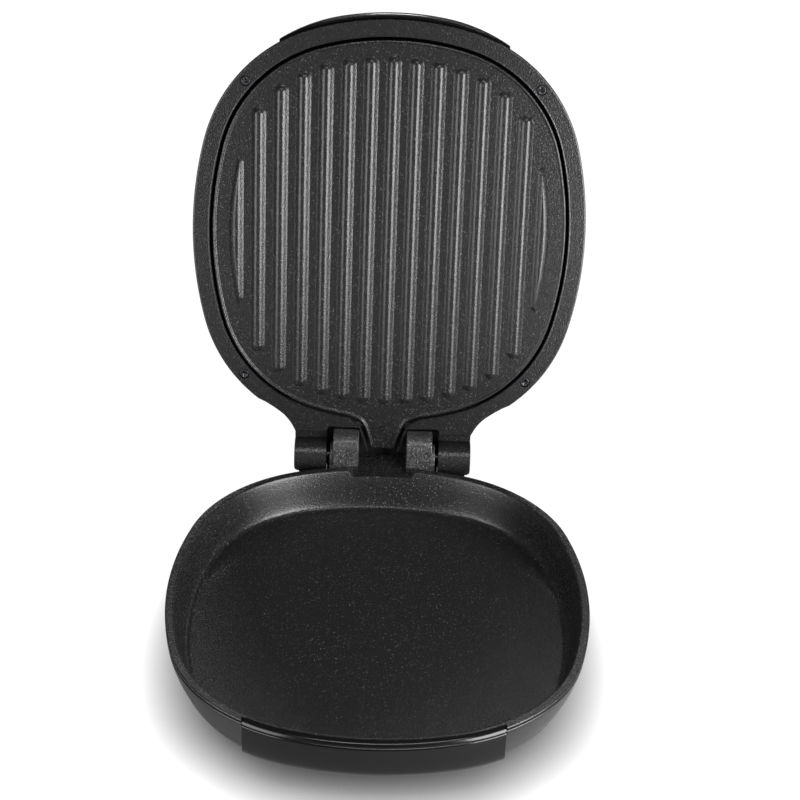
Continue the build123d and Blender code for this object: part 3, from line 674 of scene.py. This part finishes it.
def ear():
    """barrel that turns on the pin, with its arm and heel"""
    part = rod("barrel", BARREL_IN, BARREL_OUT, PIN_Y, PIN_Z, BARREL_R, 72)
    arm = prism("arm", [(162, 4.0), (176.5, 4.0), (179.5, 5.0), (182, 8.0), (190, 8.0),
                        (190, 13.7), (182, 14.6), (162, 14.6)], BARREL_IN + 0.02,
                BARREL_OUT - 0.02, across=True)
    combine(part, arm, "UNION")
    plan = block("plan", BARREL_IN - 5, BARREL_OUT, 150, PIN_Y + BARREL_R, -20, 30)
    round_edges(plan, lambda m, d, f: abs(d.z) > 0.9 and m.x > 70 and m.y > 200, 7.0, 8)
    combine(part, plan, "INTERSECT")
    round_edges(part, lambda m, d, f: f > 60 and abs(m.x - BARREL_IN) < 0.1, 0.8, 3)
    # the heel is drawn as it stands with the lid open, and turned back
    heel = prism("heel", [(196.8, -20.5), (203.0, -18), (206.5, -7), (200, 0), (196.8, -4)],
                 BARREL_IN + 0.1, 71.0, across=True)
    heel.data.transform(PIN_PLACE @ Matrix.Rotation(radians(OPEN_DEG), 4, "X")
                        @ PIN_PLACE.inverted())
    combine(part, heel, "UNION")
    combine(part, rod("bore", BARREL_IN - 1, BORE_END, PIN_Y, PIN_Z, PIN_R + 0.05, 48))
    return part


def half_outline(inset, x_stop):
    """right half of the lid's outline, from the front to where it comes back to x_stop"""
    found = [p for p in inset_points(LID, inset) if p[0] > 0.01 and (p[1] < 0 or p[0] > x_stop)]
    return sorted(found, key=lambda p: atan2(p[1], p[0]))


def ring():
    """cast ring that clamps the plate: flared ears, pockets for the posts, throat"""
    outer = half_outline(0, 101) + eased([(99.5, 147.2), (91.1, 152.6), (83.9, 158.2),
                                          (78.8, 164.3), (75.4, 170.2), (74.3, 172.6)])
    outer += [(BARREL_IN, 172.6), (BARREL_IN, 171.0), (46.6, 168.8), (44.8, 167.9),
              (21.0, 167.9), (20.1, 168.2), (19.75, 168.9), (19.7, 171.0)]
    strip = [(16.9, 179.2), (13.9, 188.0), (13.4, 188.4)]
    throat = eased(THROAT)[::-1]
    groove = half_outline(GROOVE_OUT, 34)[::-1]
    chain = outer + strip + throat + groove
    # the corner of each pocket and the strip beside the throat keep scant insets
    shares = [WHOLE] * (len(outer) - 4) + [SCANT] * (4 + len(strip))
    shares += [min(max((167.0 - y) / 7.0, SCANT), WHOLE) for x, y in throat]
    shares += [WHOLE] * len(groove)
    flags = [0] * (len(outer) + len(strip)) + [1] * (len(throat) + len(groove))
    rim = [(0, 4.4), (0, 1.6), (0.15, 0.95), (0.45, 0.58), (0.9, 0.42), (1.6, 0.4)]
    lip = [(0, 4.4), (0, 1.0), (0.12, 0.5), (0.45, 0.16), (0.95, 0.14), (1.6, 0.4)]
    path = chain + [(-x, y) for x, y in chain[::-1]]
    piece = laid_rows("lid_ring_skin", path_spots(path, shares + shares[::-1]), rim,
                      flags=flags + flags[::-1], second=lip)
    both_sides(piece, ear, "UNION")
    for x in (SCREW_X, -SCREW_X):
        for y in (SCREW_Y, -SCREW_Y):
            combine(piece, post("recess", x, y, 4.2, -1, 3.0))
    return finish(piece, "lid_ring", LID_PLACE)


def reach(inset, x):
    """how far the lid's inset outline reaches along y at a given x"""
    row = sorted(p for p in inset_points(LID, inset, 2.0) if p[1] > 0)
    for (x0, y0), (x1, y1) in zip(row, row[1:]):
        if x0 <= x <= x1:
            return y0 + (y1 - y0) * (x - x0) / (x1 - x0)
    return row[-1][1]


def rib(x, half):
    """one raised rib with a rolled crown and round ends"""
    straight = half - RIB_R
    turn = [radians(a) for a in range(0, 181, 12)]
    spots = [(x + RIB_R * cos(a), straight + RIB_R * sin(a), -cos(a), -sin(a)) for a in turn]
    spots += [(x - RIB_R * cos(a), -straight - RIB_R * sin(a), cos(a), sin(a)) for a in turn]
    rows = [(-0.5, 1.15), (-0.1, 0.92), (0.3, 0.66), (0.9, 0.3), (1.6, -0.2), (2.3, -0.76),
            (3.0, -1.25), (3.7, -1.6), (4.4, -1.83), (5.1, -1.95)]
    return laid_rows("rib", spots, rows)


def ribs():
    """fifteen parallel ribs; the outermost follow the plate's own curve"""
    row = []
    for k in range(-7, 8):
        x = k * RIB_PITCH
        one = rib(x, reach(RIB_END, abs(x)))
        if abs(k) > 6:
            combine(one, laid_rows("island", outline_spots(LID), [
                (29.8, 1.6), (29.9, 0.9), (30.5, 0.3), (31.6, -0.5), (32.7, -1.2),
                (33.8, -1.7), (35.6, -2.3)]), "INTERSECT")
        row.append(one)
    select_only(*row)
    bpy.ops.object.join()
    return bpy.context.active_object


def plate():
    """cast grill plate: beaded edge, ribs, and the spout bent back from it"""
    chain = half_outline(GROOVE_IN, 31) + eased(TONGUE)
    path = chain + [(-x, y) for x, y in chain[::-1]]
    flags = [0] * (len(chain) - 1) + [1]
    bead = [(0, 5.0), (0, 1.3), (0.08, 0.55), (0.35, 0.0), (0.8, -0.3), (1.25, -0.38),
            (1.7, -0.25), (2.15, 0.15), (2.7, 0.75), (3.3, 1.0)]
    lip = [(d, max(z, 1.0)) for d, z in bead]
    piece = laid_rows("grill_plate_skin", path_spots(path), bead, flags=flags + flags[::-1],
                      second=lip)
    select_only(piece)
    bpy.ops.object.mode_set(mode="EDIT")
    for y in (BEND_Y, 164.0, 166.5, BEND_Y + BEND_RUN):
        bpy.ops.mesh.select_all(action="SELECT")
        bpy.ops.mesh.bisect(plane_co=(0, y * MM, 0), plane_no=(0, 1, 0))
    bpy.ops.object.mode_set(mode="OBJECT")
    # the tongue bends back behind the plate's end
    for v in piece.data.vertices:
        past = v.co.y / MM - BEND_Y
        if past > 0:
            bent = BEND_SLOPE * past ** 2 / (2 * BEND_RUN)
            rise = bent if past < BEND_RUN else BEND_SLOPE * (past - BEND_RUN / 2)
            v.co.z = min(v.co.z + rise * MM, max(v.co.z, SPOUT_BACK_Z * MM))
    combine(piece, ribs(), "UNION")
    return finish(piece, "grill_plate", LID_PLACE)


def upper_handle():
    """handle lip on the front of the lid"""
    rows = [(2.6, 0.9), (1.3, 0.9), (0.75, 1.05), (0.35, 1.45), (0.12, 2.3)]
    rows += eased([(0.0, 4.0), (0.4, 12), (2.0, 19), (5.2, 25.5), (10.0, 30.5), (15.5, 33.6),
                   (19.0, 34.8)], 4)
    piece = front_grip("lid_handle_skin", GRIP, rows)
    combine(piece, laid_rows("gap", outline_spots(LID), [(-2.0, -1), (-2.0, 4.6)]))
    combine(piece, laid_rows("wall", outline_spots(LID),
                             [(3.0, -1), (3.0, 4.5)] + [(d - 0.1, z) for d, z in SHELL]))
    round_edges(piece, lambda m, d, f: abs(abs(m.x) - GRIP_X) < 0.01 and f > 50, 0.6, 2)
    return finish(piece, "lid_handle", LID_PLACE)


def screw_heads():
    """the four cross-head screws in the ring, softly shaded over the solids' own mesh"""
    source = frame["nodes"]["frame_screws"]
    piece = bpy.data.objects.new("frame_screws_skin", source.data.copy())
    bpy.context.scene.collection.objects.link(piece)
    select_only(piece)
    bpy.ops.object.mode_set(mode="EDIT")
    bpy.ops.mesh.select_all(action="SELECT")
    bpy.ops.mesh.remove_doubles(threshold=0.000005)
    bpy.ops.object.mode_set(mode="OBJECT")
    return finish(piece, "frame_screws", Matrix.Identity(4))


# every solid takes its finish; eight of them get a skin in their stead
for name, source in frame["nodes"].items():
    source.data.materials.clear()
    source.data.materials.append(FINISH[name])
for make in (casing, pan, lower_handle, shell, ring, plate, upper_handle, screw_heads):
    make()


# Floor, light and camera

# camera, solved from the outlines of both halves: degrees, millimetres and pixels
CAM_UP, CAM_TURN, CAM_ROLL = 29.391, -0.599, 2.04
CAM_FAR, CAM_FOCUS_PX, PICTURE_PX = 1658.4, 1844.2, 800
CAM_AIM = (14.433, 294.657, 0.0)
SENSOR_MM = 36.0

# how much of the white room the gloss mirrors, and how strong the plain room light is
GLOSS_SHARE, ROOM_LIGHT = 0.02, 0.05

# painted shadow where the object stands, drawn from ambient occlusion: how far it reaches, in
# metres, and how deep it is
PAINTED_SHADOW_REACH, PAINTED_SHADOW_DEPTH = 0.036, 1.5


def paper_floor():
    """white studio paper: the camera sees it white, apart from the lamps' shadow of the object, a
    painted shadow round its foot and a painted shade that makes it a little darker towards the
    middle
    """
    bpy.ops.object.select_all(action="DESELECT")
    bpy.ops.mesh.primitive_plane_add(size=12, location=(0, 0, 0))
    floor = bpy.context.active_object
    floor.name = "floor"
    made = bpy.data.materials.new("white_paper")
    made.use_nodes = True
    tree = made.node_tree
    tree.nodes.clear()
    matt = add_node(tree, "ShaderNodeBsdfDiffuse", in_Color=linear("#aaaaaa"))
    thin = add_node(tree, "ShaderNodeBsdfDiffuse", in_Color=linear("#4c4c4c"))
    place = add_node(tree, "ShaderNodeTexCoord")
    away = add_node(tree, "ShaderNodeVectorMath", [("Vector", place, "Object")],
                    operation="LENGTH")
    # painted shade: the glow is a little weaker within 0.3 m of the middle, where the object
    # stands
    rise = add_node(tree, "ShaderNodeMapRange", [("Value", away, "Value")], in_From_Min=0.3,
                    in_From_Max=0.9, in_To_Min=0.96, in_To_Max=1.0)
    # painted shadow: ambient occlusion dims the glow round the object's foot
    close = add_node(tree, "ShaderNodeAmbientOcclusion", in_Distance=PAINTED_SHADOW_REACH)
    deep = add_node(tree, "ShaderNodeMath", [(0, close, "AO")], operation="POWER")
    deep.inputs[1].default_value = PAINTED_SHADOW_DEPTH
    dim = add_node(tree, "ShaderNodeMath", [(0, rise, 0), (1, deep, 0)],
                   operation="MULTIPLY")
    glow = add_node(tree, "ShaderNodeEmission", [("Strength", dim, 0)])
    both = add_node(tree, "ShaderNodeAddShader", [(0, thin, 0), (1, glow, 0)])
    path = add_node(tree, "ShaderNodeLightPath")
    pick = add_node(tree, "ShaderNodeMixShader", [(0, path, "Is Camera Ray"), (1, matt, 0),
                                                  (2, both, 0)])
    add_node(tree, "ShaderNodeOutputMaterial", [("Surface", pick, 0)])
    floor.data.materials.append(made)


def studio_world():
    """white for the camera and through the lenses; a black coating would turn milky with all
    of it, so the gloss mirrors only a share"""
    world = bpy.data.worlds.new("studio")
    bpy.context.scene.world = world
    world.use_nodes = True
    tree = world.node_tree
    tree.nodes.clear()
    path = add_node(tree, "ShaderNodeLightPath")
    clear = add_node(tree, "ShaderNodeMath", [(0, path, "Is Camera Ray"),
                                              (1, path, "Is Transmission Ray")],
                     operation="MAXIMUM")
    seen = add_node(tree, "ShaderNodeMath", [(0, path, "Is Glossy Ray"), (2, clear, 0)],
                    operation="MULTIPLY_ADD")
    seen.inputs[1].default_value = GLOSS_SHARE
    white = add_node(tree, "ShaderNodeBackground", in_Color=(1, 1, 1, 1), in_Strength=1.0)
    room = add_node(tree, "ShaderNodeBackground", in_Color=(1, 1, 1, 1), in_Strength=ROOM_LIGHT)
    pick = add_node(tree, "ShaderNodeMixShader", [(0, seen, 0), (1, room, 0), (2, white, 0)])
    add_node(tree, "ShaderNodeOutputWorld", [("Surface", pick, 0)])


def softbox(name, place, aim, width, height, power):
    """rectangular lamp that the camera doesn't see; metres and watts"""
    lamp = bpy.data.lights.new(name, "AREA")
    lamp.shape = "RECTANGLE"
    lamp.size, lamp.size_y, lamp.energy = width, height, power
    holder = bpy.data.objects.new(name, lamp)
    bpy.context.scene.collection.objects.link(holder)
    holder.location = place
    holder.visible_camera = False
    holder.rotation_euler = (Vector(aim) - Vector(place)).to_track_quat("-Z", "Y").to_euler()


def camera():
    """camera at the photograph's viewpoint"""
    rise, turned, roll = radians(CAM_UP), radians(CAM_TURN), radians(CAM_ROLL)
    look = Vector((-sin(turned) * cos(rise), cos(turned) * cos(rise), -sin(rise)))
    right = look.cross(Vector((0, 0, 1))).normalized()
    up = right.cross(look)
    across = right * cos(roll) + up * sin(roll)
    upward = up * cos(roll) - right * sin(roll)
    aim = Vector((CAM_AIM[0], CAM_AIM[1] + Y_SHIFT, CAM_AIM[2] + RIM_Z)) * MM
    facing = Matrix((across, upward, -look)).transposed().to_4x4()
    eye = bpy.data.cameras.new("camera")
    eye.sensor_width = SENSOR_MM
    eye.lens = CAM_FOCUS_PX * SENSOR_MM / PICTURE_PX
    holder = bpy.data.objects.new("camera", eye)
    bpy.context.scene.collection.objects.link(holder)
    holder.matrix_world = Matrix.Translation(aim - look * CAM_FAR * MM) @ facing
    bpy.context.scene.camera = holder


paper_floor()
studio_world()
softbox("strip_right", (0.62, -0.50, 0.32), (0, 0.05, 0.28), 0.6, 0.60, 19)
softbox("strip_left", (-0.62, -0.54, 0.32), (0, 0.05, 0.28), 0.6, 0.60, 7)
softbox("key_front", (0.1, -0.75, 1.5), (0, 0.0, 0.15), 1.1, 0.14, 8)
softbox("rim_back", (0.2, 1.1, 1.3), (0, 0.1, 0.2), 1.4, 0.16, 5)
softbox("fill_back", (0, 1.4, 1.0), (0, 0.15, 0.22), 0.25, 0.25, 7)
camera()
bpy.context.scene.view_settings.view_transform = "Standard"
